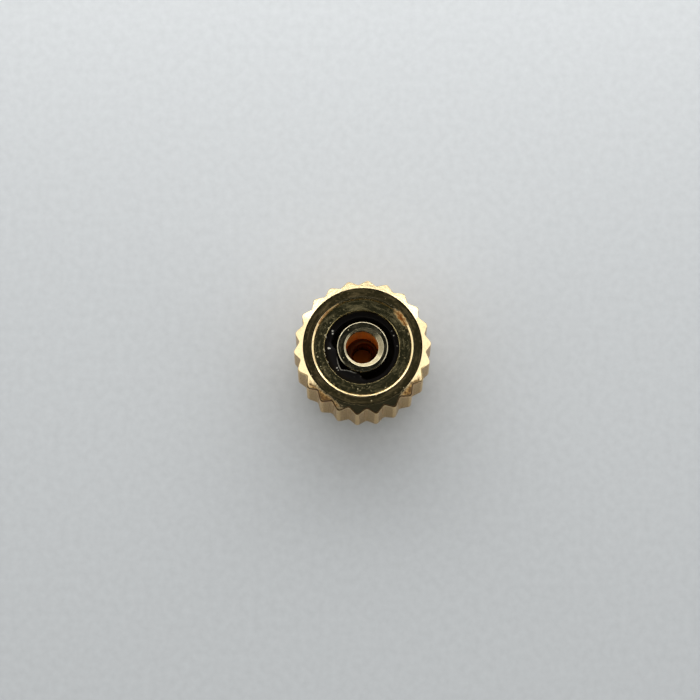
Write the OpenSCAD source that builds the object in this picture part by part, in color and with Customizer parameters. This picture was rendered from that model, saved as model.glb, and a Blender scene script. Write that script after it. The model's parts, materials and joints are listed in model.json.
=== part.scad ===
// Sealed watch crown for a push-on, screw-in stem.
// It lies on its dome with the stem side up: Z is the crown's own axis, and the origin is the top of the dome.
// All sizes are in millimetres.

/* [Grip] */
// Diameter over the tooth tips
grip_d = 5.0; // [4.8:0.1:6.0]
// Number of teeth round the grip
tooth_count = 22; // [18:1:28]
// Angle of the cutter that makes the grooves between the teeth
groove_angle = 120; // [112:2:130]
// Radius that the cutter, the polishing and the plating leave on a tooth tip
tip_radius = 0.12; // [0.04:0.01:0.16]
// Radius left by the cutter at a tooth root
root_radius = 0.1; // [0.04:0.01:0.14]
// Turn of the first tooth from the X axis
first_tooth_angle = 3.7; // [0:0.1:20]
// Angle between the bevel across the tooth ends and the rim face
grip_bevel_angle = 39; // [35:1:50]

/* [Head] */
// Height of the head, from the top of the dome to the rim face
head_h = 3.0; // [2.8:0.1:3.6]
// Rise of the dome above its own edge
dome_h = 0.44; // [0.2:0.02:0.5]
// Diameter of the dome at its edge
dome_d = 4.36; // [4.0:0.04:4.5]
// Width of the flat face round the rim
rim_w = 0.33; // [0.2:0.01:0.36]
// Width of the bevel at the mouth of the recess
mouth_bevel_w = 0.06; // [0.04:0.01:0.12]
// Depth of that bevel
mouth_bevel_h = 0.05; // [0.03:0.01:0.09]

/* [Case tube] */
// Outside diameter of the case tube that enters the crown
tube_d = 2.5; // [2.3:0.05:2.6]
// Inside diameter of that tube, which the stem post runs in
tube_bore_d = 2.0; // [1.8:0.05:2.1]
// Gap round the tube where it passes the washer
tube_outer_gap = 0.11; // [0.04:0.01:0.15]
// Gap between the stem post and the tube
tube_inner_gap = 0.08; // [0.03:0.01:0.1]

/* [Washer] */
// Thickness of the washer that holds the gasket in
washer_t = 0.3; // [0.2:0.02:0.4]
// Depth of the washer's face below the rim face
washer_sink = 0.12; // [0.1:0.01:0.2]
// How far the washer covers the gasket
washer_cover = 0.24; // [0.12:0.02:0.3]
// Width of the ledge that the washer is pressed down on
washer_ledge = 0.18; // [0.1:0.01:0.22]
// Bevel broken on the washer's edges
washer_bevel = 0.04; // [0.02:0.01:0.06]

/* [Gasket] */
// Height of the gasket, held between its seat and the washer
gasket_h = 0.5; // [0.4:0.02:0.6]
// How far the case tube squeezes the gasket outwards
gasket_squeeze = 0.1; // [0.04:0.01:0.14]
// Radius moulded on the gasket's two inner corners
gasket_radius = 0.18; // [0.05:0.01:0.19]
// Depth that the tube can travel below the gasket
tube_room_h = 0.5; // [0.2:0.02:0.6]

/* [Stem post] */
// Depth of the post's end face below the rim face
post_sink = 0.06; // [0.02:0.01:0.2]
// Width of the bevel round the outside of the post's end
post_bevel_w = 0.04; // [0.03:0.01:0.09]
// Depth of that bevel
post_bevel_h = 0.03; // [0.02:0.01:0.09]
// Diameter of the spigot that is pressed into the head
spigot_d = 1.6; // [1.44:0.02:1.7]
// Length of that spigot
spigot_l = 1.0; // [0.8:0.02:1.1]
// Lead-in bevel on the spigot
spigot_bevel = 0.05; // [0.03:0.01:0.08]
// Diameter of the stem hole inside the crests of its thread
thread_core_d = 0.72; // [0.56:0.02:0.9]
// Diameter of the plain bore in front of the thread
pilot_d = 1.2; // [1.0:0.02:1.24]
// Depth of that bore below the post's end face
pilot_depth = 1.46; // [1.0:0.02:1.56]
// Width of the countersink at the mouth of the bore
countersink_w = 0.12; // [0.05:0.01:0.17]
// Depth of that countersink
countersink_h = 0.08; // [0.04:0.01:0.17]

/* [Hidden] */

gold = [0.85, 0.68, 0.36];
brass = [0.80, 0.60, 0.30];
rubber = [0.05, 0.05, 0.06];

round_steps = 4;
overcut = 0.5;
$fn = 96;

// Radii, from the stem outwards
post_r = tube_bore_d / 2 - tube_inner_gap;
gasket_bore_r = tube_d / 2 - gasket_squeeze;
washer_bore_r = tube_d / 2 + tube_outer_gap;
chamber_r = washer_bore_r + washer_cover;
washer_r = chamber_r + washer_ledge;
mouth_r = washer_r + mouth_bevel_w;
rim_r = mouth_r + rim_w;
grip_r = grip_d / 2;
dome_edge_r = dome_d / 2;
dome_sphere_r = (dome_edge_r * dome_edge_r + dome_h * dome_h) / (2 * dome_h);

// Heights, down from the rim face
washer_top_z = head_h - washer_sink;
ledge_z = washer_top_z - washer_t;
chamber_z = ledge_z - gasket_h;
floor_z = chamber_z - tube_room_h;
post_top_z = head_h - post_sink;
pilot_z = post_top_z - pilot_depth;
spigot_z = floor_z - spigot_l;

// The arc of radius r that rounds the corner at b, on the path from a by b to c
function corner_arc(a, b, c, r) =
    let (
        to_a = (a - b) / norm(a - b),
        to_c = (c - b) / norm(c - b),
        half = acos(to_a * to_c) / 2,
        middle = (to_a + to_c) / norm(to_a + to_c),
        centre = b + middle * r / sin(half),
        first = b + to_a * r / tan(half) - centre,
        last = b + to_c * r / tan(half) - centre,
        sweep = 180 - 2 * half
    )
    [for (i = [0:round_steps])
        centre + (first * sin(sweep * (1 - i / round_steps)) + last * sin(sweep * i / round_steps)) / sin(sweep)];

function polar(r, angle) = r * [cos(angle), sin(angle)];

// One tooth of the grip after another: a rounded tip on the grip's own diameter and then a rounded root
module tooth_outline() {
    pitch = 360 / tooth_count;
    tip_half = groove_angle / 2 - pitch / 2;
    sharp_tip_r = grip_r + tip_radius * (1 / sin(tip_half) - 1);
    sharp_root_r = sharp_tip_r * sin(tip_half) / sin(groove_angle / 2);
    polygon([for (i = [0:tooth_count - 1])
        let (
            angle = first_tooth_angle + i * pitch,
            before = polar(sharp_root_r, angle - pitch / 2),
            tip = polar(sharp_tip_r, angle),
            root = polar(sharp_root_r, angle + pitch / 2),
            next = polar(sharp_tip_r, angle + pitch)
        )
        each concat(corner_arc(before, tip, root, tip_radius), corner_arc(tip, root, next, root_radius))]);
}

// Half section that the toothed bar is turned to: dome, bevel, grip, bevel and rim face
module head_section() {
    bevel_slope = tan(grip_bevel_angle);
    intersection() {
        polygon([
            [0, 0],
            [dome_edge_r - dome_h / bevel_slope, 0],
            [grip_r, dome_h + (grip_r - dome_edge_r) * bevel_slope],
            [grip_r, head_h - (grip_r - rim_r) * bevel_slope],
            [rim_r, head_h],
            [0, head_h]
        ]);
        translate([0, dome_sphere_r]) circle(r = dome_sphere_r, $fn = 256);
    }
}

// Half section of what is bored out of the head: spigot hole, tube room, gasket chamber, washer seat and mouth
module recess_section() {
    polygon([
        [0, spigot_z],
        [spigot_d / 2, spigot_z],
        [spigot_d / 2, floor_z],
        [washer_bore_r, floor_z],
        [washer_bore_r, chamber_z],
        [chamber_r, chamber_z],
        [chamber_r, ledge_z],
        [washer_r, ledge_z],
        [washer_r, head_h - mouth_bevel_h],
        [mouth_r, head_h],
        [mouth_r, head_h + overcut],
        [0, head_h + overcut]
    ]);
}

module crown_head() {
    color(gold) difference() {
        intersection() {
            rotate_extrude() head_section();
            translate([0, 0, -overcut]) linear_extrude(head_h + 2 * overcut) tooth_outline();
        }
        rotate_extrude() recess_section();
    }
}

// Tube with a pressed-in spigot: the stem screws into it, and its outside runs in the case tube
module stem_post() {
    color(brass) difference() {
        rotate_extrude() polygon([
            [0, spigot_z],
            [spigot_d / 2 - spigot_bevel, spigot_z],
            [spigot_d / 2, spigot_z + spigot_bevel],
            [spigot_d / 2, floor_z],
            [post_r, floor_z],
            [post_r, post_top_z - post_bevel_h],
            [post_r - post_bevel_w, post_top_z],
            [0, post_top_z]
        ]);
        translate([0, 0, spigot_z - overcut])
            cylinder(d = thread_core_d, h = post_top_z - spigot_z + 2 * overcut);
        translate([0, 0, pilot_z])
            cylinder(d = pilot_d, h = pilot_depth + overcut);
        translate([0, 0, post_top_z - countersink_h])
            cylinder(r1 = pilot_d / 2, r2 = pilot_d / 2 + 2 * countersink_w, h = 2 * countersink_h);
    }
}

// Moulded ring that the case tube pushes through: flat against the head and the washer, rounded inside
module gasket() {
    color(rubber) rotate_extrude() {
        translate([gasket_bore_r + gasket_radius, chamber_z])
            square([chamber_r - gasket_bore_r - gasket_radius, gasket_h]);
        translate([gasket_bore_r, chamber_z + gasket_radius])
            square([chamber_r - gasket_bore_r, gasket_h - 2 * gasket_radius]);
        for (z = [chamber_z + gasket_radius, ledge_z - gasket_radius])
            translate([gasket_bore_r + gasket_radius, z]) circle(r = gasket_radius);
    }
}

module gasket_washer() {
    color(gold) rotate_extrude() polygon([
        [washer_bore_r, ledge_z],
        [washer_r - washer_bevel, ledge_z],
        [washer_r, ledge_z + washer_bevel],
        [washer_r, washer_top_z],
        [washer_bore_r + washer_bevel, washer_top_z],
        [washer_bore_r, washer_top_z - washer_bevel]
    ]);
}

crown_head();
stem_post();
gasket();
gasket_washer();
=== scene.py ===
import json
import math
from collections import namedtuple

import bpy
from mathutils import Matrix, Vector


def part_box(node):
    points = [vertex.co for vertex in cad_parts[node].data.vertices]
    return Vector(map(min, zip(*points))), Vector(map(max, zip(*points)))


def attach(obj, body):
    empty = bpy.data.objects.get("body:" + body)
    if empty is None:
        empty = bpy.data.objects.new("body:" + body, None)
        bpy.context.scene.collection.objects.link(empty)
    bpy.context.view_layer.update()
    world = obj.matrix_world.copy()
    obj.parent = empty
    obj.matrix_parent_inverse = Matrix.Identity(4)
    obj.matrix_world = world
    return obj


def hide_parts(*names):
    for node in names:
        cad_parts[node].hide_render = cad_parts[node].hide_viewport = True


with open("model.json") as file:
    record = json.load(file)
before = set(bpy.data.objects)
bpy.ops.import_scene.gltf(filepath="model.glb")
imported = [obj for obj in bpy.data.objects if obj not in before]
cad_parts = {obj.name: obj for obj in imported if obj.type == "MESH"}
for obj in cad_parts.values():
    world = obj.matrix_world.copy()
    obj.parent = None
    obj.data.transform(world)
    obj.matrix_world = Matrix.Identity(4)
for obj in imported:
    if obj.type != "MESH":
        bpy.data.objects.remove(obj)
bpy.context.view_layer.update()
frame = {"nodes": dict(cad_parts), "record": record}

bl_info = {
    "name": "Watch crown",
    "version": (1, 0, 0),
    "blender": (4, 5, 0),
    "location": "3D View > Sidebar > Crown",
    "description": "Dresses the packed watch crown with detailed pieces, finishes and a small studio",
    "category": "Object",
}

MM = 0.001
BODY = "root"


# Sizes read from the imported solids

def radii(node, low=-1.0, high=1.0):
    """Smallest and largest distance from the crown's axis among a node's corners between two heights."""
    found = [Vector(v.co[:2]).length for v in frame["nodes"][node].data.vertices if low <= v.co.z <= high]
    return min(found), max(found)


# Heights and radii closer than this count as the same, and the teeth stay this far inside the solid's box
NEAR = 0.004 * MM
head_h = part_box("crown_head")[1].z
grip_r = radii("crown_head")[1]
mouth_r, rim_r = radii("crown_head", head_h - NEAR, head_h + NEAR)
washer_low, washer_high = (corner.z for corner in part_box("gasket_washer"))
washer_bore_r, washer_r = radii("gasket_washer")
gasket_low, gasket_high = (corner.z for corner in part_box("gasket"))
gasket_bore_r, chamber_r = radii("gasket")
post_low, post_high = (corner.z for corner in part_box("stem_post"))
post_r = radii("stem_post")[1]
post_seat = min(v.co.z for v in frame["nodes"]["stem_post"].data.vertices
                if Vector(v.co[:2]).length > post_r - NEAR)
spigot_r = radii("stem_post", post_low, post_seat - NEAR)[1]
stem_hole = next(m for m in frame["record"]["mounts"] if m["name"] == "stem_thread")
core_r = stem_hole["dims"]["r_mm"] * MM
pilot_low = post_low + stem_hole["dims"]["length_mm"] * MM


def length(name, description, default):
    """A size in metres, given in millimetres."""
    return bpy.props.FloatProperty(name=name, description=description, default=default * MM, min=0.0,
                                   precision=5, subtype="DISTANCE", unit="LENGTH")


def turn(name, description, degrees):
    return bpy.props.FloatProperty(name=name, description=description, default=math.radians(degrees),
                                   subtype="ANGLE", unit="ROTATION")


def amount(name, description, default):
    return bpy.props.FloatProperty(name=name, description=description, default=default, min=0.0)


def linear(hex_colour):
    """sRGB hex to the linear colour that Blender's sockets hold."""
    parts = [int(hex_colour[i:i + 2], 16) / 255 for i in (1, 3, 5)]
    return tuple(c / 12.92 if c <= 0.04045 else ((c + 0.055) / 1.055) ** 2.4 for c in parts) + (1.0,)


def colour(name, description, hex_colour):
    return bpy.props.FloatVectorProperty(name=name, description=description, default=linear(hex_colour),
                                         size=4, min=0.0, max=1.0, subtype="COLOR")


class HeadSizes(bpy.types.PropertyGroup):
    tooth_count: bpy.props.IntProperty(name="Teeth", description="Teeth round the grip", default=22, min=3)
    first_tooth: turn("First tooth", "Turn of the first tooth from the X axis", 3.7)
    groove_angle: turn("Groove angle", "Angle of the cutter that makes the grooves", 120)
    bevel_angle: turn("End bevel", "Angle between the bevel across the tooth ends and the rim face", 39)
    tip_radius: length("Tip radius", "Rounding of a tooth tip", 0.12)
    root_radius: length("Root radius", "Rounding of a tooth root", 0.1)
    dome_h: length("Dome height", "Rise of the dome above its own edge", 0.44)
    dome_r: length("Dome radius", "Distance of the dome's edge from the axis", 2.18)
    mouth_bevel_h: length("Mouth bevel", "Depth of the bevel at the mouth of the recess", 0.05)
    edge_radius: length("Edge radius", "Rounding that polishing leaves on an edge", 0.006)
    # The near teeth's bevels carry a painted dark reflection this wide
    dark_reflection_width: length("Dark reflection width", "Width of the dark line along the near teeth's bevels", 0.065)
    grip_edge_radius: length("Grip edge radius", "Rounding between a tooth's bevel and its flank", 0.04)
    plate: colour("Gold", "Colour of the plating", "#F4D69A")
    patch_r: length("Patch radius", "Distance of the worn patch from the axis", 1.766)
    patch_turn: turn("Patch turn", "Direction of the worn patch from the X axis", 37)
    patch_length: length("Patch length", "Length of the patch round the mouth", 0.84)
    patch_width: length("Patch width", "Width of the patch", 0.24)
    arc_r: length("Worn arc radius", "Distance of the worn arc on the mouth's bevel from the axis", 1.805)
    arc_turn: turn("Worn arc turn", "Direction of the middle of the worn arc from the X axis", 139)
    arc_length: length("Worn arc length", "Length of that arc", 1.5)
    arc_width: length("Worn arc width", "Width of that arc", 0.06)
    # Rubbed places on the near bevel, darkened as painted shade where the bevel's reflection turns dark
    rubbed_and_shaded_r: length("Rubbed and shaded bevel radius", "Distance of the rubbed places on the bevel from the axis", 2.36)
    rubbed_and_shaded_width: length("Rubbed and shaded bevel width", "Width of those places", 0.38)
    left_turn: turn("Left rubbed and shaded place", "Direction of the left one from the X axis", -128)
    left_length: length("Left rubbed and shaded length", "Length of the left one", 1.7)
    right_turn: turn("Right rubbed and shaded place", "Direction of the right one from the X axis", -42)
    right_length: length("Right rubbed and shaded length", "Length of the right one", 1.2)


class PostSizes(bpy.types.PropertyGroup):
    bore_r: length("Bore radius", "Plain bore in front of the thread", 0.6)
    bore_offset: length("Bore offset", "How far the bore's centre is off the post's axis", 0.022)
    bore_turn: turn("Bore turn", "Direction of that offset from the X axis", -140)
    bore_tarnish: length("Tarnish depth", "Depth below the end face where the bore's tarnish begins", 0.1)
    end_bevel_w: length("End bevel width", "Width of the bevel round the outside of the end", 0.026)
    end_bevel_h: length("End bevel depth", "Depth of that bevel", 0.02)
    sink_r: length("Countersink radius", "Countersink at the end face", 0.72)
    sink_slope: turn("Countersink slope", "Angle between the countersink and the end face", 33)
    sink_offset: length("Countersink offset", "How far the countersink is off the post's axis", 0.05)
    sink_turn: turn("Countersink turn", "Direction of that offset from the X axis", -15)
    thread_pitch: length("Thread pitch", "Rise of the stem thread in one turn", 0.225)
    thread_depth: length("Thread depth", "Depth of the thread below its crest", 0.09)
    thread_lead: length("Thread lead-in", "Bevel where the plain bore meets the thread", 0.03)
    spigot_bevel: length("Spigot bevel", "Lead-in bevel on the spigot", 0.05)
    metal: colour("Brass", "Colour of the post under its thin plating", "#A89F80")


class GasketSizes(bpy.types.PropertyGroup):
    lip_radius: length("Lip radius", "Rounding of the two inner corners", 0.18)
    pinch_r: length("Pinched lip", "Distance from the axis at which the squeezed lip meets the post", 0.94)
    corner_r: length("Lip corner", "Distance from the axis of the corner that the lip leaves open", 1.1)
    lip_rise: length("Lip rise", "How far the squeezed lip stands up in the washer's opening", 0.13)
    lip_slope_w: length("Lip slope", "Width of the step from the washer's edge to that lip", 0.06)
    corner_radius: length("Corner radius", "Rounding of the two outer corners and of the squeezed lip", 0.03)
    rubber: colour("Rubber", "Colour of the nitrile rubber", "#1A1818")


class WasherSizes(bpy.types.PropertyGroup):
    bevel: length("Edge bevel", "Bevel round the opening", 0.018)
    seam: length("Seam", "Dark gap between the washer and its seat", 0.008)
    offset: length("Offset", "How far the opening's centre is off the axis", 0.025)
    offset_turn: turn("Offset turn", "Direction of that offset from the X axis", 180)
    plate: colour("Gold", "Colour of the worn plating", "#DECE98")


class StageSizes(bpy.types.PropertyGroup):
    camera_tilt: turn("Camera tilt", "Angle between the view and the crown's axis", 11.5)
    camera_distance: length("Camera distance", "From the camera to the rim face", 120)
    frame_width: length("Frame width", "Width of the picture at the rim face", 25.35)
    aim_left: length("Aim left", "How far the picture's centre lies left of the crown's axis", 0.456)
    aim_down: length("Aim down", "How far the picture's centre lies below the crown's axis", 0.135)
    floor_width: length("Floor width", "Side of the square floor", 1600)
    paper: colour("Floor", "Colour of the paper on the table", "#D5D8DA")
    room_light: amount("Room light", "Brightness of the walls round the table", 1.5)
    upper_light: amount("Upper light", "Brightness of the walls above 30 degrees", 1.0)
    panel_light: amount("Panel light", "Brightness of the soft panel behind the crown", 2.1)
    panel_gap: length("Panel distance", "From the crown to the panel", 27)
    panel_width: length("Panel width", "Width of the panel", 70)
    panel_height: length("Panel height", "Height of the panel", 22)
    panel_low: length("Panel edge", "Height of the panel's lower edge above the floor", 4.4)


class CrownSettings(bpy.types.PropertyGroup):
    head: bpy.props.PointerProperty(type=HeadSizes)
    post: bpy.props.PointerProperty(type=PostSizes)
    gasket: bpy.props.PointerProperty(type=GasketSizes)
    washer: bpy.props.PointerProperty(type=WasherSizes)
    stage: bpy.props.PointerProperty(type=StageSizes)


# Outlines: each point is (along, across, edge), where edge tells the finish how worn or dirty the point is
# and what light or shade is painted on it. It is 1 on a worn corner, 0 on a flat, -1 in an inner corner and
# less on the near bevels, where a dark reflection is painted.

ARC_STEPS = 4
CORNER_POINTS = ARC_STEPS + 3
ARC_END = 0.6
SUPPORT = 0.02 * MM
# The part of a side that an arc may take up, and the part of the rest that a support point may
ARC_SHARE = 0.45
SUPPORT_SHARE = 0.4

# Edge values: a bevel paled as a painted highlight and kept clean, one a little paler, a thread's crest and
# root, dirt and the painted dark reflection
PALE_HIGHLIGHT = 0.4
PALER = 0.1
CREST = 0.2
ROOT = -0.4
DIRTY = -0.5
DARK_REFLECTION = -3.6


def rounded(corners, closed=True):
    """Rounds each (x, y, radius) corner and keeps a point beside each arc, so that the flats stay flat."""
    points = []
    count = len(corners)
    for i, (x, y, radius) in enumerate(corners):
        at = Vector((x, y))
        if radius == 0 or (not closed and i in (0, count - 1)):
            points.append((x, y, 0.0))
            continue
        before = Vector(corners[i - 1][:2]) - at
        after = Vector(corners[(i + 1) % count][:2]) - at
        to_before, to_after = before.normalized(), after.normalized()
        half = to_before.angle(to_after) / 2
        reach = min(radius / math.tan(half), ARC_SHARE * before.length, ARC_SHARE * after.length)
        radius = reach * math.tan(half)
        middle = at + (to_before + to_after).normalized() * radius / math.sin(half)
        first, last = at + to_before * reach - middle, at + to_after * reach - middle
        sweep = math.pi - 2 * half
        # Outer corners are worn pale, and inner ones turn darker
        sign = 1.0 if -to_before.x * to_after.y + to_before.y * to_after.x > 0 else -1.0
        spare_before = min(SUPPORT, SUPPORT_SHARE * (before.length - reach))
        spare_after = min(SUPPORT, SUPPORT_SHARE * (after.length - reach))
        points.append((*(at + to_before * (reach + spare_before)), 0.0))
        for step in range(ARC_STEPS + 1):
            t = step / ARC_STEPS
            spoke = (first * math.sin(sweep * (1 - t)) + last * math.sin(sweep * t)) / math.sin(sweep)
            points.append((*(middle + spoke), sign * (1.0 if 0 < step < ARC_STEPS else ARC_END)))
        points.append((*(at + to_after * (reach + spare_after)), 0.0))
    return points


def polar(radius, angle):
    return Vector((radius * math.cos(angle), radius * math.sin(angle)))


def turned(name, angles, section, closed):
    """A turned piece. section(i) gives the (radius, height, edge) points at angles[i], solid on their left.

    A section that isn't closed starts and ends on the axis."""
    sections = [section(i) for i in range(len(angles))]
    rows = len(sections[0])
    first, last = (0, rows) if closed else (1, rows - 1)
    verts, edges = [], []
    for angle, points in zip(angles, sections):
        for radius, height, edge in points[first:last]:
            verts.append((*polar(radius, angle), height))
            edges.append(edge)
    per = last - first
    faces = []
    for i in range(len(angles)):
        here, there = i * per, (i + 1) % len(angles) * per
        for j in range(per if closed else per - 1):
            k = (j + 1) % per
            faces.append((here + j, there + j, there + k, here + k))
    if not closed:
        # The two ends on the axis, each joined to the ring beside it
        for row, rest in ((0, 0), (rows - 1, per - 1)):
            pole = len(verts)
            verts.append((0.0, 0.0, sections[0][row][1]))
            edges.append(0.0)
            for i in range(len(angles)):
                a, b = i * per + rest, (i + 1) % len(angles) * per + rest
                faces.append((pole, b, a) if row == 0 else (pole, a, b))
    mesh = bpy.data.meshes.new(name)
    mesh.from_pydata(verts, [], faces)
    mesh.attributes.new("edge", "FLOAT", "POINT").data.foreach_set("value", edges)
    mesh.shade_smooth()
    piece = bpy.data.objects.new(name, mesh)
    bpy.context.scene.collection.objects.link(piece)
    flats = piece.modifiers.new("Flat faces stay flat", "WEIGHTED_NORMAL")
    flats.weight = 90
    return piece


def dress(piece, material, slot, *nodes):
    """Gives a piece its finish and its place in the frame, and hides the solids it stands for."""
    piece.data.materials.append(material)
    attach(piece, BODY)
    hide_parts(*nodes)


# Materials

def add(tree, kind, sockets=(), **settings):
    """Adds a node, sets its properties, and fills its inputs with values or with other nodes' outputs."""
    made = tree.nodes.new(kind)
    for name, value in settings.items():
        setattr(made, name, value)
    for key, value in dict(sockets).items():
        if isinstance(value, bpy.types.NodeSocket):
            tree.links.new(value, made.inputs[key])
        else:
            made.inputs[key].default_value = value
    return made.outputs


def new_material(name):
    material = bpy.data.materials.new(name)
    material.use_nodes = True
    material.node_tree.nodes.clear()
    return material, material.node_tree


def finish_material(tree, **sockets):
    """Ends a material in one surface shader with the sockets given."""
    named = {key.replace("_", " "): value for key, value in sockets.items()}
    shader = add(tree, "ShaderNodeBsdfPrincipled", named)
    add(tree, "ShaderNodeOutputMaterial", {"Surface": shader["BSDF"]})


def darker(tone, share):
    """A share of a linear colour."""
    return (*(share * c for c in tone[:3]), 1.0)


def place_in_mm(tree):
    """The point of the piece that is painted, in millimetres."""
    here = add(tree, "ShaderNodeTexCoord")["Object"]
    return add(tree, "ShaderNodeVectorMath", {0: here, "Scale": 1 / MM}, operation="SCALE")["Vector"]


def seen_from_above(tree, place):
    return add(tree, "ShaderNodeVectorMath", {0: place, 1: (1, 1, 0)}, operation="MULTIPLY")["Vector"]


class GoldGround:
    """What all marks on gold go by: where the point lies in millimetres, its edge and the shared noises."""

    def __init__(self, tree):
        self.place = place_in_mm(tree)
        flat = seen_from_above(tree, self.place)
        self.radius = add(tree, "ShaderNodeVectorMath", {0: flat}, operation="LENGTH")["Value"]
        self.spoke = add(tree, "ShaderNodeVectorMath", {0: flat}, operation="NORMALIZE")["Vector"]
        self.height = add(tree, "ShaderNodeSeparateXYZ", {"Vector": self.place})["Z"]
        self.speck = add(tree, "ShaderNodeTexNoise", {"Vector": self.place, "Scale": 9.0, "Detail": 4.0,
                                                      "Roughness": 0.7})["Fac"]
        self.streak = add(tree, "ShaderNodeTexNoise", {"Vector": self.rings(tree, 3.5), "Scale": 2.4,
                                                       "Detail": 6.0, "Roughness": 0.7})["Fac"]
        self.edge = add(tree, "ShaderNodeAttribute", attribute_name="edge")["Fac"]
        self.on_flat = add(tree, "ShaderNodeMapRange", {"Value": self.edge, "From Min": PALE_HIGHLIGHT,
                                                        "From Max": PALER})["Result"]
        # Where the painted dark reflection lies on the near bevels
        self.dark_reflection = add(tree, "ShaderNodeMapRange", {"Value": self.edge, "From Min": -1.0,
                                                      "From Max": -1.4})["Result"]

    def rings(self, tree, per_mm):
        """Place for a noise that runs in rings round the axis, this many to the millimetre."""
        outwards = add(tree, "ShaderNodeCombineXYZ", {"Z": self.radius})["Vector"]
        return add(tree, "ShaderNodeVectorMath", {0: outwards, 1: (1, 1, per_mm), 2: self.spoke},
                   operation="MULTIPLY_ADD")["Vector"]

    def lines(self, tree, round_per_mm, up_per_mm):
        """Noise in lying lines, as a cutter or a brush leaves them on an upright face."""
        drawn = add(tree, "ShaderNodeVectorMath", {0: self.place, 1: (round_per_mm, round_per_mm, up_per_mm)},
                    operation="MULTIPLY")["Vector"]
        return add(tree, "ShaderNodeTexNoise", {"Vector": drawn, "Scale": 1.0, "Detail": 2.0})["Fac"]


def soiled_gold(tree, ground, base, marks, dirt, wear_and_highlight):
    """Mask of the grime on the plating, and the layers of colour up to it, as (mask, colour)."""
    streaked = add(tree, "ShaderNodeMapRange", {"Value": ground.streak, "From Min": 0.48, "From Max": 0.70,
                                                "To Max": 0.45 * marks},
                   interpolation_type="SMOOTHSTEP")["Result"]
    specked = add(tree, "ShaderNodeMapRange", {"Value": ground.speck, "From Min": 0.54, "From Max": 0.68,
                                               "To Max": 0.5 * marks},
                  interpolation_type="SMOOTHSTEP")["Result"]
    grime = add(tree, "ShaderNodeMath", {0: streaked, 1: specked}, operation="MAXIMUM")["Value"]
    grime = add(tree, "ShaderNodeMath", {0: grime, 1: ground.on_flat}, operation="MULTIPLY")["Value"]
    corner = add(tree, "ShaderNodeMapRange", {"Value": ground.edge, "From Min": 0.0, "From Max": -1.0,
                                              "To Max": dirt}, clamp=False)["Result"]
    corner_dark = add(tree, "ShaderNodeMath", {0: corner, 1: ground.speck}, operation="MULTIPLY")["Value"]
    grime = add(tree, "ShaderNodeMath", {0: grime, 1: corner_dark}, operation="MAXIMUM", use_clamp=True)["Value"]
    # Paler on worn edges, and on the bevels as a painted highlight
    worn = add(tree, "ShaderNodeMapRange", {"Value": ground.edge, "To Max": wear_and_highlight})["Result"]
    sullied = add(tree, "ShaderNodeMapRange", {"Value": ground.speck, "From Min": 0.48, "From Max": 0.6,
                                               "To Max": 0.3 * dirt})["Result"]
    sullied = add(tree, "ShaderNodeMath", {0: sullied, 1: ground.edge}, operation="MULTIPLY",
                  use_clamp=True)["Value"]
    return grime, [(ground.streak, darker(base, 0.8)), (worn, linear("#FFF4D8")),
                   (sullied, linear("#8A6A3E")), (grime, linear("#4A3822"))]


# A hollow inside radius and below top, where the plating gives way to a tarnish colour, and to deep below its
# floor.
# In the post's bore that colour is real tarnish, and in the head's recess painted shade; in the post's thread
# deep is painted shade.
Hollow = namedtuple("Hollow", "radius top floor tarnish deep")


def tarnish_and_shade_in_hollow(tree, ground, hollow):
    """Mask and colour of a hollow: banded by the drill, lighter towards its floor as painted light, and deep
    below it.
    """
    top, floor = hollow.top / MM, hollow.floor / MM
    within = add(tree, "ShaderNodeMapRange", {"Value": ground.radius, "From Min": hollow.radius / MM + 0.02,
                                              "From Max": hollow.radius / MM})["Result"]
    below = add(tree, "ShaderNodeMapRange", {"Value": ground.height, "From Min": top,
                                             "From Max": top - 0.15})["Result"]
    inside = add(tree, "ShaderNodeMath", {0: ground.height, 1: post_low / MM - 0.02},
                 operation="GREATER_THAN")["Value"]
    mask = 1.0
    for limit in (within, below, inside):
        mask = add(tree, "ShaderNodeMath", {0: mask, 1: limit}, operation="MULTIPLY")["Value"]
    banded = add(tree, "ShaderNodeMapRange", {"Value": ground.lines(tree, 0.8, 9.0), "From Min": 0.4,
                                              "From Max": 0.6, "To Min": -0.2, "To Max": 0.2})["Result"]
    # Painted light: the hollow grows lighter towards its floor
    sunken = add(tree, "ShaderNodeMapRange", {"Value": ground.height, "From Min": top,
                                              "From Max": floor})["Result"]
    banded = add(tree, "ShaderNodeMath", {0: banded, 1: sunken}, operation="ADD", use_clamp=True)["Value"]
    tarnish = linear(hollow.tarnish)
    tone = add(tree, "ShaderNodeMix", {"Factor": banded, "A": darker(tarnish, 0.7), "B": tarnish},
               data_type="RGBA")["Result"]
    # Below the floor the deep colour, painted shade in the post's thread
    under = add(tree, "ShaderNodeMath", {0: ground.height, 1: floor + 0.01}, operation="LESS_THAN")["Value"]
    shown = add(tree, "ShaderNodeMapRange", {"Value": ground.height, "From Min": floor - 0.12,
                                             "From Max": floor - 0.04, "To Min": 0.85})["Result"]
    under = add(tree, "ShaderNodeMath", {0: under, 1: shown}, operation="MULTIPLY")["Value"]
    tone = add(tree, "ShaderNodeMix", {"Factor": under, "A": tone, "B": linear(hollow.deep)},
               data_type="RGBA")["Result"]
    return mask, tone


# A ragged arc where the plating is worn through, mottled brown and pale round its middle
Stain = namedtuple("Stain", "radius turn length width brown pale middle")


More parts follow.
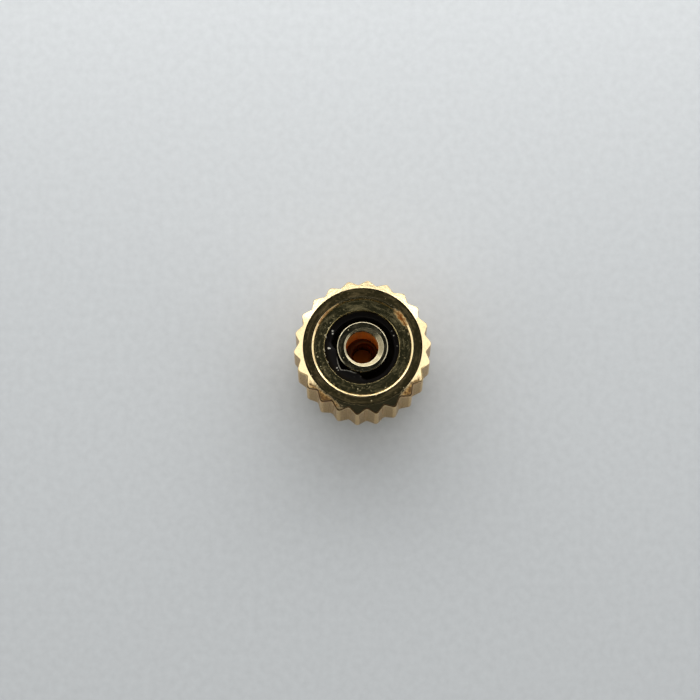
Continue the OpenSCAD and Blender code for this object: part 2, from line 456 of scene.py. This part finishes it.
def worn_through(tree, ground, stain):
    """Mask and colour of a stain, which keeps to the faces of the stem side and leaves the painted dark
    reflection alone.
    """
    beside = add(tree, "ShaderNodeVectorMath", {0: ground.spoke, 1: (*polar(1.0, stain.turn), 0)},
                 operation="DOT_PRODUCT")["Value"]
    beside = add(tree, "ShaderNodeMath", {0: beside}, operation="ARCCOSINE")["Value"]
    beside = add(tree, "ShaderNodeMath", {0: beside, 1: 2 * stain.radius / stain.length},
                 operation="MULTIPLY")["Value"]
    across = add(tree, "ShaderNodeMath", {0: ground.radius, 1: -stain.radius / MM}, operation="ADD")["Value"]
    across = add(tree, "ShaderNodeMath", {0: across, 1: 2 * MM / stain.width}, operation="MULTIPLY")["Value"]
    oval = add(tree, "ShaderNodeCombineXYZ", {"X": beside, "Y": across})["Vector"]
    oval = add(tree, "ShaderNodeVectorMath", {0: oval}, operation="LENGTH")["Value"]
    ragged = add(tree, "ShaderNodeMath", {0: ground.speck, 1: 1.4, 2: oval},
                 operation="MULTIPLY_ADD")["Value"]
    mask = add(tree, "ShaderNodeMapRange", {"Value": ragged, "From Min": 1.8, "From Max": 1.3},
               interpolation_type="SMOOTHSTEP")["Result"]
    upper = add(tree, "ShaderNodeMapRange", {"Value": ground.height, "From Min": washer_low / MM,
                                             "From Max": washer_low / MM + 0.1})["Result"]
    clear = add(tree, "ShaderNodeMath", {0: 1.0, 1: ground.dark_reflection}, operation="SUBTRACT")["Value"]
    for limit in (clear, upper):
        mask = add(tree, "ShaderNodeMath", {0: mask, 1: limit}, operation="MULTIPLY")["Value"]
    mottled = add(tree, "ShaderNodeMapRange", {"Value": ground.speck, "From Min": 0.42,
                                               "From Max": 0.58})["Result"]
    middle = add(tree, "ShaderNodeMapRange", {"Value": ragged, "From Min": 1.4, "From Max": 0.9})["Result"]
    tone = add(tree, "ShaderNodeMix", {"Factor": mottled, "A": linear(stain.brown), "B": linear(stain.pale)},
               data_type="RGBA")["Result"]
    tone = add(tree, "ShaderNodeMix", {"Factor": middle, "A": tone, "B": linear(stain.middle)},
               data_type="RGBA")["Result"]
    return mask, tone


def satin_flanks(tree, ground, rim):
    """Mask and colour of the fine brushing on the upright faces outside the rim."""
    upright = add(tree, "ShaderNodeSeparateXYZ", {"Vector": add(tree, "ShaderNodeTexCoord")["Normal"]})["Z"]
    upright = add(tree, "ShaderNodeMath", {0: upright}, operation="ABSOLUTE")["Value"]
    mask = add(tree, "ShaderNodeMapRange", {"Value": upright, "From Min": 0.4, "From Max": 0.1,
                                            "To Max": 0.4})["Result"]
    outside = add(tree, "ShaderNodeMath", {0: ground.radius, 1: rim / MM}, operation="GREATER_THAN")["Value"]
    mask = add(tree, "ShaderNodeMath", {0: mask, 1: outside}, operation="MULTIPLY")["Value"]
    # Lines 0.04 mm apart: the real ones are finer, and these are as coarse as they need to show
    brushed = add(tree, "ShaderNodeMapRange", {"Value": ground.lines(tree, 1.5, 25.0), "From Min": 0.35,
                                               "From Max": 0.65})["Result"]
    tone = add(tree, "ShaderNodeMix", {"Factor": brushed, "A": linear("#D2A26A"), "B": linear("#E8C69E")},
               data_type="RGBA")["Result"]
    return mask, tone


def loose_dust(tree, ground, marks):
    """Mask of the placed grains, and of more 0.04 mm across in up to one in five cells of a 0.16 mm grid."""
    cell = add(tree, "ShaderNodeTexVoronoi", {"Vector": ground.place, "Scale": 6.0, "Randomness": 1.0})
    chosen = add(tree, "ShaderNodeSeparateXYZ", {"Vector": cell["Color"]})["X"]
    chosen = add(tree, "ShaderNodeMath", {0: chosen, 1: 1 - 0.2 * marks}, operation="GREATER_THAN")["Value"]
    mask = add(tree, "ShaderNodeMapRange", {"Value": cell["Distance"], "From Min": 0.17,
                                            "From Max": 0.08})["Result"]
    for limit in (chosen, ground.on_flat):
        mask = add(tree, "ShaderNodeMath", {0: mask, 1: limit}, operation="MULTIPLY")["Value"]
    return add(tree, "ShaderNodeMath", {0: mask, 1: placed_dust(tree, ground.place)},
               operation="MAXIMUM")["Value"]


# Grains of pale dust where the gasket meets the washer: (right of the axis, above it, radius) in millimetres
GRAINS = ((-1.09, 0.655, 0.042), (-1.085, 0.555, 0.036), (-1.345, 0.43, 0.05), (-1.235, 0.70, 0.035),
          (-1.395, -0.09, 0.045), (-1.235, 0.0, 0.045), (-1.18, -0.01, 0.028), (-1.36, -0.26, 0.035),
          (-1.27, -0.51, 0.035), (-1.63, -0.36, 0.035))


def placed_dust(tree, place):
    """Mask of the grains that lie where the picture shows them."""
    flat = seen_from_above(tree, place)
    mask = 0.0
    for x, y, size in GRAINS:
        away = add(tree, "ShaderNodeVectorMath", {0: flat, 1: (x, y, 0)}, operation="DISTANCE")["Value"]
        grain = add(tree, "ShaderNodeMapRange", {"Value": away, "From Min": size, "From Max": 0.7 * size},
                    interpolation_type="SMOOTHSTEP")["Result"]
        mask = add(tree, "ShaderNodeMath", {0: grain, 1: mask}, operation="MAXIMUM")["Value"]
    return mask


def gold_material(name, base, marks, dirt, wear_and_highlight, hollow=None, stains=(), rim=None):
    """Gold plate on turned brass: a warm mirror with turning rings, worn pale at the edges, dark in corners.

    marks is the strength of streaks, specks and dust on the flats, dirt that of the darkening in inner
    corners and wear that of the pale worn edges and of the painted highlight on the bevels. Flat faces from
    just inside rim outwards are painted dark, a painted dark reflection along the rim's edge, and outside it
    upright faces are satin."""
    material, tree = new_material(name)
    ground = GoldGround(tree)
    grime, layers = soiled_gold(tree, ground, base, marks, dirt, wear_and_highlight)
    # What dulls the gold: a mask, how much of the metal it takes away, and how much rougher it is
    dulled = []
    if hollow:
        tarnish_and_shade_mask, tone = tarnish_and_shade_in_hollow(tree, ground, hollow)
        layers.append((tarnish_and_shade_mask, tone))
        dulled.append((tarnish_and_shade_mask, 0.6, 0.25))
    bare = 0.0
    for stain in stains:
        mask, tone = worn_through(tree, ground, stain)
        layers.append((mask, tone))
        bare = add(tree, "ShaderNodeMath", {0: bare, 1: mask}, operation="MAXIMUM")["Value"]
    if rim:
        # Painted dark reflection: flat faces from just inside the rim's edge outwards are painted dark, a
        # line along the rim face
        line = add(tree, "ShaderNodeMapRange", {"Value": ground.radius, "From Min": rim / MM - 0.06,
                                                "From Max": rim / MM - 0.02})["Result"]
        line = add(tree, "ShaderNodeMath", {0: line, 1: ground.on_flat}, operation="MULTIPLY")["Value"]
        layers.append((line, darker(base, 0.3)))
    dust = loose_dust(tree, ground, marks)
    # Painted dark reflection on the near teeth's bevels, then dust
    layers += [(ground.dark_reflection, linear("#3A1E0A")), (dust, linear("#B4A886"))]
    if rim:
        satin, tone = satin_flanks(tree, ground, rim)
        layers.append((satin, tone))
        dulled.append((satin, 0.5, 0.3))
    tone = base
    for mask, over in layers:
        tone = add(tree, "ShaderNodeMix", {"Factor": mask, "A": tone, "B": over}, data_type="RGBA")["Result"]
    grime = add(tree, "ShaderNodeMath", {0: grime, 1: dust}, operation="MAXIMUM")["Value"]
    metal = add(tree, "ShaderNodeMapRange", {"Value": grime, "To Min": 1.0, "To Max": 0.4})["Result"]
    rough = add(tree, "ShaderNodeMapRange", {"Value": grime, "To Min": 0.10, "To Max": 0.5})["Result"]
    for mask, less, rougher in dulled:
        share = add(tree, "ShaderNodeMath", {0: mask, 1: -less, 2: 1.0}, operation="MULTIPLY_ADD")["Value"]
        metal = add(tree, "ShaderNodeMath", {0: metal, 1: share}, operation="MULTIPLY")["Value"]
        rough = add(tree, "ShaderNodeMath", {0: mask, 1: rougher, 2: rough},
                    operation="MULTIPLY_ADD")["Value"]
    if stains:
        metal = add(tree, "ShaderNodeMath", {0: metal, 1: bare}, operation="SUBTRACT",
                    use_clamp=True)["Value"]
        rough = add(tree, "ShaderNodeMath", {0: bare, 1: 0.4, 2: rough}, operation="MULTIPLY_ADD")["Value"]
    # Turning rings 0.05 mm apart: the real ones are finer, and these are as coarse as they need to show
    turning = add(tree, "ShaderNodeTexNoise", {"Vector": ground.rings(tree, 20), "Scale": 1.0,
                                               "Detail": 2.0})["Fac"]
    bump = add(tree, "ShaderNodeBump", {"Height": turning, "Strength": 0.3, "Distance": 0.001 * MM})["Normal"]
    # Shallow dents 0.1 mm across from tumbling in a tray with other parts
    bump = add(tree, "ShaderNodeBump", {"Height": ground.speck, "Strength": 0.7, "Distance": 0.009 * MM,
                                        "Normal": bump})["Normal"]
    finish_material(tree, Base_Color=tone, Metallic=metal, Roughness=rough, Normal=bump,
                    Specular_Tint=linear("#F4E2BC"))
    return material


def rubber_material(name, base):
    """Moulded nitrile rubber: near black with a satin sheen, pale dust on it and a painted highlight on the
    lip's edge.
    """
    material, tree = new_material(name)
    place = place_in_mm(tree)
    grain = add(tree, "ShaderNodeTexNoise", {"Vector": place, "Scale": 24.0, "Detail": 3.0})["Fac"]
    patch = add(tree, "ShaderNodeTexNoise", {"Vector": place, "Scale": 2.2, "Detail": 2.0})["Fac"]
    speck = add(tree, "ShaderNodeTexVoronoi", {"Vector": place, "Scale": 4.5, "Randomness": 1.0})
    dust = add(tree, "ShaderNodeMapRange", {"Value": speck["Distance"], "From Min": 0.18, "From Max": 0.08},
               interpolation_type="SMOOTHSTEP")["Result"]
    dusty = add(tree, "ShaderNodeMapRange", {"Value": patch, "From Min": 0.5, "From Max": 0.54})["Result"]
    dust = add(tree, "ShaderNodeMath", {0: dust, 1: dusty}, operation="MULTIPLY")["Value"]
    dust = add(tree, "ShaderNodeMath", {0: dust, 1: placed_dust(tree, place)}, operation="MAXIMUM")["Value"]
    edge = add(tree, "ShaderNodeAttribute", attribute_name="edge")["Fac"]
    # Painted highlight: a pale line along the squeezed lip's edge
    rubbed = add(tree, "ShaderNodeMath", {0: edge, 1: grain}, operation="MULTIPLY", use_clamp=True)["Value"]
    tone = add(tree, "ShaderNodeMix", {"Factor": dust, "A": base, "B": linear("#E8E6DE")},
               data_type="RGBA")["Result"]
    tone = add(tree, "ShaderNodeMix", {"Factor": rubbed, "A": tone, "B": linear("#C8C4B8")},
               data_type="RGBA")["Result"]
    rough = add(tree, "ShaderNodeMapRange", {"Value": grain, "To Min": 0.28, "To Max": 0.45})["Result"]
    bump = add(tree, "ShaderNodeBump", {"Height": grain, "Strength": 0.3, "Distance": 0.004 * MM})["Normal"]
    finish_material(tree, Base_Color=tone, Roughness=rough, Normal=bump, IOR=1.15)
    return material


def paper_material(name, base):
    """Matt coated paper under the crown: pale grey, faintly mottled by fibres clumped 0.2 mm across."""
    material, tree = new_material(name)
    cloud = add(tree, "ShaderNodeTexNoise", {"Vector": place_in_mm(tree), "Scale": 3.5, "Detail": 3.0})["Fac"]
    tone = add(tree, "ShaderNodeMix", {"Factor": cloud, "A": base, "B": darker(base, 0.84)},
               data_type="RGBA")["Result"]
    finish_material(tree, Base_Color=tone, Roughness=0.75)
    return material


# Pieces

DOME_STEPS = 28
POST_STEPS = 144
RING_STEPS = 240
ROWS_PER_TURN = 14

# The colours of a stain: brown, pale and middle
WORN = ("#9A6426", "#E6C282", "#9C5C1C")
# Rubbed places: worn plating in colours darkened as painted shade
RUBBED_AND_SHADED = ("#5A3818", "#D0A058", "#6A4420")


def worn_places(head):
    """The worn patch and the worn arc, which cross the mouth of the head and the washer's edge."""
    return (Stain(head.patch_r, head.patch_turn, head.patch_length, head.patch_width, *WORN),
            Stain(head.arc_r, head.arc_turn, head.arc_length, head.arc_width, *WORN))


def rubbed_and_shaded_bevels(head):
    """The two places on the near bevel where the plating is rubbed thin, darkened too as painted shade."""
    return (Stain(head.rubbed_and_shaded_r, head.left_turn, head.left_length, head.rubbed_and_shaded_width, *RUBBED_AND_SHADED),
            Stain(head.rubbed_and_shaded_r, head.right_turn, head.right_length, head.rubbed_and_shaded_width, *RUBBED_AND_SHADED))


def circle_angles(count):
    return [2 * math.pi * i / count for i in range(count)]


def off_centre(radius, offset, around):
    """Distance from the axis to a circle whose centre is off it, at an angle from the offset's direction."""
    return offset * math.cos(around) + math.sqrt(radius ** 2 - (offset * math.sin(around)) ** 2)


def between(low, value, high):
    return max(low, min(value, high))


def eased(share):
    """A share from 0 to 1 that leaves 0 and reaches 1 gently."""
    return share * share * (3 - 2 * share)


def tooth_outline(s):
    """The teeth from above: a rounded tip, a straight flank and a rounded root, all the way round."""
    pitch = 2 * math.pi / s.tooth_count
    tip_half = s.groove_angle / 2 - pitch / 2
    sharp_tip = grip_r - NEAR + s.tip_radius * (1 / math.sin(tip_half) - 1)
    sharp_root = sharp_tip * math.sin(tip_half) / math.sin(s.groove_angle / 2)
    corners = []
    for i in range(s.tooth_count):
        angle = s.first_tooth + i * pitch
        tip, root = polar(sharp_tip, angle), polar(sharp_root, angle + pitch / 2)
        following = polar(sharp_tip, angle + pitch)
        corners += [(*tip, s.tip_radius), (*((tip + root) / 2), 0.0),
                    (*root, s.root_radius), (*((root + following) / 2), 0.0)]
    return rounded(corners)


def dome_arc(s):
    """The dome's section, from its top to just before its edge."""
    sphere = (s.dome_r ** 2 + s.dome_h ** 2) / (2 * s.dome_h)
    steps = [s.dome_r * k / DOME_STEPS for k in range(DOME_STEPS)]
    return [(r, sphere - math.sqrt(sphere ** 2 - r ** 2), 0.0) for r in steps]


def recess_corners(s):
    """The recess from its mouth down: washer seat, gasket chamber, room for the tube and spigot hole."""
    return (
        (mouth_r, head_h, s.edge_radius),
        (washer_r, head_h - s.mouth_bevel_h, s.edge_radius / 2),
        (washer_r, washer_low, s.edge_radius),
        (chamber_r, washer_low, s.edge_radius),
        (chamber_r, gasket_low, s.edge_radius),
        (washer_bore_r, gasket_low, s.edge_radius),
        (washer_bore_r, post_seat, s.edge_radius),
        (spigot_r, post_seat, s.edge_radius),
        (spigot_r, post_low, s.edge_radius),
        (0.0, post_low, 0.0),
    )


class CROWN_OT_head(bpy.types.Operator):
    """Toothed head: straight teeth, a bevel across both of their ends, a shallow dome and a stepped recess"""
    bl_idname = "crown.head"
    bl_label = "Toothed head"

    def execute(self, context):
        s = context.scene.crown.head
        outline = tooth_outline(s)
        angles = [math.atan2(y, x) for x, y, edge in outline]
        dome, recess = dome_arc(s), recess_corners(s)
        slope = math.tan(s.bevel_angle)
        # A section's points: dome, dome edge, lower and upper end of the grip, border of the painted dark
        # reflection, rim and recess
        grip_from = len(dome) + CORNER_POINTS
        grip_to = grip_from + 2 * CORNER_POINTS
        half_corner = CORNER_POINTS // 2 + 1
        on_grip = range(grip_from, grip_to)
        on_bevel = range(grip_to - half_corner, grip_to + 1 + half_corner)
        dark_reflection_points = range(grip_to - 2, grip_to)
        # A dark reflection is painted on the bevels from this far towards the camera, as a share of the
        # radius, and is thickest from here on
        dark_reflection_from, dark_reflection_full = 0.3, 0.8

        def section(i):
            x, y, tooth_edge = outline[i]
            r = math.hypot(x, y)
            dark_reflection_r = r - s.dark_reflection_width
            grip = (
                (s.dome_r, s.dome_h, 2 * s.edge_radius),
                (r, s.dome_h + (r - s.dome_r) * slope, s.grip_edge_radius),
                (r, head_h - (r - rim_r) * slope, s.grip_edge_radius),
                (dark_reflection_r, head_h - (dark_reflection_r - rim_r) * slope, 0.0),
                (rim_r, head_h, s.edge_radius),
            )
            # The painted dark reflection grows on the teeth that face the camera
            dark_reflection = between(0.0, (-math.sin(angles[i]) - dark_reflection_from) / (dark_reflection_full - dark_reflection_from), 1.0)
            marked = []
            for n, (a, b, edge) in enumerate(rounded([*dome, *grip, *recess], closed=False)):
                if n in dark_reflection_points:
                    edge = PALE_HIGHLIGHT + (DARK_REFLECTION - PALE_HIGHLIGHT) * dark_reflection
                # The bevels are paled as a painted highlight and kept clean
                elif n in on_bevel:
                    edge = PALE_HIGHLIGHT
                elif n in on_grip and edge == 0:
                    edge = tooth_edge / 2
                elif edge == 0 and washer_r < a < mouth_r and b > head_h - s.mouth_bevel_h:
                    edge = PALER
                marked.append((a, b, edge))
            return marked

        piece = turned("toothed_head", angles, section, closed=False)
        # Painted shade: the recess below the washer is painted dark
        shaded_recess = Hollow(chamber_r, washer_low, post_low, "#2E2418", "#D8984C")
        material = gold_material("polished gold plate", tuple(s.plate), marks=0.45, dirt=1.2, wear_and_highlight=0.6,
                                 hollow=shaded_recess, stains=worn_places(s) + rubbed_and_shaded_bevels(s), rim=rim_r)
        dress(piece, material, "gold_plate", "crown_head")
        return {"FINISHED"}


class CROWN_OT_post(bpy.types.Operator):
    """Stem post: a turned tube with an off-centre countersink, a plain bore and the stem thread behind it"""
    bl_idname = "crown.post"
    bl_label = "Stem post"

    def execute(self, context):
        s = context.scene.crown.post
        edge_radius = context.scene.crown.head.edge_radius
        angles = circle_angles(POST_STEPS)
        thread_top, thread_low = pilot_low - s.thread_lead, post_low + SUPPORT
        rows = round((pilot_low - post_low) / s.thread_pitch * ROWS_PER_TURN)

        def section(i):
            sink_mouth = off_centre(s.sink_r, s.sink_offset, angles[i] - s.sink_turn)
            bore = off_centre(s.bore_r, s.bore_offset, angles[i] - s.bore_turn)
            sink_depth = (sink_mouth - bore) * math.tan(s.sink_slope)
            outside = rounded([
                (core_r, post_low, 0.0),
                (spigot_r - s.spigot_bevel, post_low, edge_radius),
                (spigot_r, post_low + s.spigot_bevel, edge_radius),
                (spigot_r, post_seat, edge_radius),
                (post_r, post_seat, edge_radius),
                (post_r, post_high - s.end_bevel_h, edge_radius),
                (post_r - s.end_bevel_w, post_high, edge_radius),
                (sink_mouth, post_high, edge_radius / 2),
                (bore, post_high - sink_depth, edge_radius / 2),
                (bore, pilot_low, edge_radius),
                (core_r + s.thread_lead, pilot_low, 0.0),
            ], closed=False)
            marked = []
            for a, b, edge in outside:
                on_sink = bore < a < sink_mouth and b < post_high - edge_radius / 2
                marked.append((a, b, DIRTY if edge == 0 and on_sink else edge))
            for k in range(rows):
                z = thread_top - (thread_top - thread_low) * k / rows
                phase = (z / s.thread_pitch - angles[i] / (2 * math.pi)) % 1.0
                wave = 1 - abs(2 * phase - 1)
                # Flat crests and roots with slopes between them
                depth = s.thread_depth * between(0.0, 1.5 * wave - 0.25, 1.0)
                marked.append((core_r + depth, z, ROOT if wave > 0.5 else CREST))
            return marked

        piece = turned("threaded_post", angles, section, closed=True)
        # Real tarnish in the bore, with painted light that makes it lighter towards its floor, and painted
        # shade on the thread below
        bore_tarnish_light_and_shade = Hollow(s.bore_r + s.bore_offset, post_high - s.bore_tarnish, pilot_low,
                                "#FFAE50", "#482208")
        material = gold_material("thin gold on turned brass", tuple(s.metal), marks=0.7, dirt=1.3, wear_and_highlight=0.7,
                                 hollow=bore_tarnish_light_and_shade)
        dress(piece, material, "post_brass", "stem_post")
        return {"FINISHED"}


class CROWN_OT_gasket(bpy.types.Operator):
    """Rubber gasket: a moulded ring whose inner lip is squeezed against the post on one side"""
    bl_idname = "crown.gasket"
    bl_label = "Gasket"

    def execute(self, context):
        s = context.scene.crown.gasket
        angles = circle_angles(RING_STEPS)
        clocks = [(90 - math.degrees(angle)) % 360 for angle in angles]
        # The squeezed lip: (degrees clockwise from the top of the picture, distance from the axis)
        lip = ((172, gasket_bore_r), (190, s.pinch_r), (206, s.pinch_r), (214, 0.975 * MM), (219, 1.04 * MM),
               (224, s.corner_r), (230, 1.077 * MM), (236, 1.04 * MM), (243, 1.0 * MM), (252, 0.954 * MM),
               (262, s.pinch_r), (284, gasket_bore_r))
        squeezed_from, squeezed_to = lip[0][0], lip[-1][0]
        rise_turn, slope_share = 20, 0.6
        # Clock angles of the painted highlight along the lip's edge
        lip_highlight_from, lip_highlight_to = 192, 252
        fade_in, fade_out = 6, 12

        def inner_radius(clock):
            for (clock_a, a), (clock_b, b) in zip(lip, lip[1:]):
                if clock_a <= clock <= clock_b:
                    return a + (b - a) * eased((clock - clock_a) / (clock_b - clock_a))
            return gasket_bore_r

        def section(i):
            clock = clocks[i]
            inner = inner_radius(clock)
            rising = min((clock - squeezed_from) / rise_turn, (squeezed_to - clock) / rise_turn)
            rising = eased(between(0.0, rising, 1.0))
            rise = s.lip_rise * rising
            lip_radius = s.lip_radius + (s.corner_radius - s.lip_radius) * rising
            outline = rounded([
                (inner, gasket_low, s.lip_radius),
                (chamber_r, gasket_low, s.corner_radius),
                (chamber_r, gasket_high, s.corner_radius),
                (washer_bore_r, gasket_high, 0.0),
                (washer_bore_r - s.lip_slope_w, gasket_high + slope_share * rise, 0.0),
                (inner, gasket_high + rise, lip_radius),
            ])
            # Painted highlight along the lip's edge, faded in and out at its ends
            rubbed = min((clock - lip_highlight_from) / fade_in, (lip_highlight_to - clock) / fade_out)
            rubbed = between(0.0, rubbed, 1.0)
            first_on_lip = len(outline) - CORNER_POINTS
            return [(a, b, rubbed * max(edge, 0.0) if n >= first_on_lip else 0.0)
                    for n, (a, b, edge) in enumerate(outline)]

        piece = turned("rubber_gasket", angles, section, closed=True)
        material = rubber_material("moulded nitrile rubber", tuple(s.rubber))
        dress(piece, material, "black_rubber", "gasket")
        return {"FINISHED"}


class CROWN_OT_washer(bpy.types.Operator):
    """Gasket washer: a thin turned ring, bevelled round its opening, with worn plating"""
    bl_idname = "crown.washer"
    bl_label = "Gasket washer"

    def execute(self, context):
        s = context.scene.crown.washer
        head = context.scene.crown.head
        angles = circle_angles(RING_STEPS)
        outer = washer_r - s.seam

        def section(i):
            inner = off_centre(washer_bore_r, s.offset, angles[i] - s.offset_turn)
            return rounded([
                (inner, washer_low, head.edge_radius),
                (outer - s.bevel, washer_low, head.edge_radius),
                (outer, washer_low + s.bevel, head.edge_radius),
                (outer, washer_high, head.edge_radius),
                (inner + s.bevel, washer_high, head.edge_radius),
                (inner, washer_high - s.bevel, head.edge_radius),
            ])

        piece = turned("retaining_washer", angles, section, closed=True)
        material = gold_material("worn gold plate", tuple(s.plate), marks=0.9, dirt=1.0, wear_and_highlight=0.0,
                                 stains=worn_places(head))
        dress(piece, material, "washer_gold", "gasket_washer")
        return {"FINISHED"}


# Stage

def bright_room(s):
    """Bright walls up to 60 degrees under a dark ceiling, with a dark place on the near side."""
    world = bpy.data.worlds.new("bright room, dark ceiling")
    world.use_nodes = True
    tree = world.node_tree
    tree.nodes.clear()
    looking = add(tree, "ShaderNodeTexCoord")["Generated"]
    height = add(tree, "ShaderNodeSeparateXYZ", {"Vector": looking})["Z"]
    level = add(tree, "ShaderNodeVectorMath", {0: looking, 1: (1, 1, 0)}, operation="MULTIPLY")["Vector"]
    level = add(tree, "ShaderNodeVectorMath", {0: level}, operation="NORMALIZE")["Vector"]
    level = add(tree, "ShaderNodeSeparateXYZ", {"Vector": level})["Y"]
    # The near wall is dark between 8 and 40 degrees
    shade = add(tree, "ShaderNodeMapRange", {"Value": level, "From Min": -0.42, "From Max": -0.58},
                interpolation_type="SMOOTHSTEP")["Result"]
    for low, high in ((0.09, 0.17), (0.72, 0.62)):
        limit = add(tree, "ShaderNodeMapRange", {"Value": height, "From Min": low, "From Max": high},
                    interpolation_type="SMOOTHSTEP")["Result"]
        shade = add(tree, "ShaderNodeMath", {0: shade, 1: limit}, operation="MULTIPLY")["Value"]
    wall = add(tree, "ShaderNodeMapRange", {"Value": height, "From Min": 0.80, "From Max": 0.92,
                                            "To Min": 1.0, "To Max": 0.0},
               interpolation_type="SMOOTHSTEP")["Result"]
    wall = add(tree, "ShaderNodeMapRange", {"Value": shade, "From Min": 1.0, "From Max": 0.0,
                                            "To Max": wall})["Result"]
    brightness = add(tree, "ShaderNodeMapRange", {"Value": height, "From Min": 0.42, "From Max": 0.58,
                                                  "To Min": s.room_light, "To Max": s.upper_light},
                     interpolation_type="SMOOTHSTEP")["Result"]
    tint = add(tree, "ShaderNodeMix", {"Factor": wall, "A": linear("#E4F2E6"), "B": linear("#FFFFFF")},
               data_type="RGBA")["Result"]
    strength = add(tree, "ShaderNodeMapRange", {"Value": wall, "To Min": 0.03,
                                                "To Max": brightness})["Result"]
    light = add(tree, "ShaderNodeBackground", {"Color": tint, "Strength": strength})["Background"]
    add(tree, "ShaderNodeOutputWorld", {"Surface": light})
    return world


def hang_panel(s, scene):
    """Hangs the soft panel upright behind the crown, with its lower edge above the floor."""
    panel = bpy.data.lights.new("soft panel", "AREA")
    panel.shape = "RECTANGLE"
    panel.size, panel.size_y = s.panel_width, s.panel_height
    panel.energy = s.panel_light * math.pi * s.panel_width * s.panel_height
    hung = bpy.data.objects.new("soft panel", panel)
    hung.location = (0, s.panel_gap, s.panel_low + s.panel_height / 2)
    hung.rotation_euler = (math.radians(-90), 0, 0)
    scene.collection.objects.link(hung)


def set_camera(s, scene):
    """Puts the camera where the photograph was taken from."""
    back = Vector((0, -math.sin(s.camera_tilt), math.cos(s.camera_tilt)))
    up = Vector((0, math.cos(s.camera_tilt), math.sin(s.camera_tilt)))
    aim = Vector((-s.aim_left, 0, head_h)) - up * s.aim_down
    lens = bpy.data.cameras.new("camera")
    lens.sensor_width = 36
    lens.lens = lens.sensor_width * s.camera_distance / s.frame_width
    lens.clip_start = 1 * MM
    lens.clip_end = 10
    camera = bpy.data.objects.new("camera", lens)
    camera.location = aim + back * s.camera_distance
    camera.rotation_euler = back.to_track_quat("Z", "Y").to_euler()
    scene.collection.objects.link(camera)
    scene.camera = camera


class CROWN_OT_stage(bpy.types.Operator):
    """Paper floor, a bright room with a dark ceiling, a soft panel and a camera at the photograph's angle"""
    bl_idname = "crown.stage"
    bl_label = "Stage"

    def execute(self, context):
        s = context.scene.crown.stage
        half = s.floor_width / 2
        corners = [(-half, -half, 0), (half, -half, 0), (half, half, 0), (-half, half, 0)]
        mesh = bpy.data.meshes.new("paper_floor")
        mesh.from_pydata(corners, [], [(0, 1, 2, 3)])
        mesh.materials.append(paper_material("matt paper", tuple(s.paper)))
        floor = bpy.data.objects.new("paper_floor", mesh)
        context.scene.collection.objects.link(floor)
        context.scene.world = bright_room(s)
        hang_panel(s, context.scene)
        set_camera(s, context.scene)
        context.scene.view_settings.view_transform = "Standard"
        return {"FINISHED"}


OPERATORS = (CROWN_OT_head, CROWN_OT_post, CROWN_OT_gasket, CROWN_OT_washer, CROWN_OT_stage)


class CROWN_PT_panel(bpy.types.Panel):
    """Lists the crown's pieces and their sizes"""
    bl_idname = "CROWN_PT_panel"
    bl_label = "Watch crown"
    bl_space_type = "VIEW_3D"
    bl_region_type = "UI"
    bl_category = "Crown"

    def draw(self, context):
        settings = context.scene.crown
        groups = (settings.head, settings.post, settings.gasket, settings.washer, settings.stage)
        for operator, group in zip(OPERATORS, groups):
            box = self.layout.box()
            box.operator(operator.bl_idname)
            for name in group.bl_rna.properties.keys():
                if name not in ("rna_type", "name"):
                    box.prop(group, name)


GROUPS = (HeadSizes, PostSizes, GasketSizes, WasherSizes, StageSizes, CrownSettings)


def register():
    for made in (*GROUPS, *OPERATORS, CROWN_PT_panel):
        bpy.utils.register_class(made)
    bpy.types.Scene.crown = bpy.props.PointerProperty(type=CrownSettings)


def unregister():
    del bpy.types.Scene.crown
    for made in reversed((*GROUPS, *OPERATORS, CROWN_PT_panel)):
        bpy.utils.unregister_class(made)


def main():
    register()
    for operator in OPERATORS:
        group, name = operator.bl_idname.split(".")
        getattr(getattr(bpy.ops, group), name)()


if __name__ == "__main__":
    main()
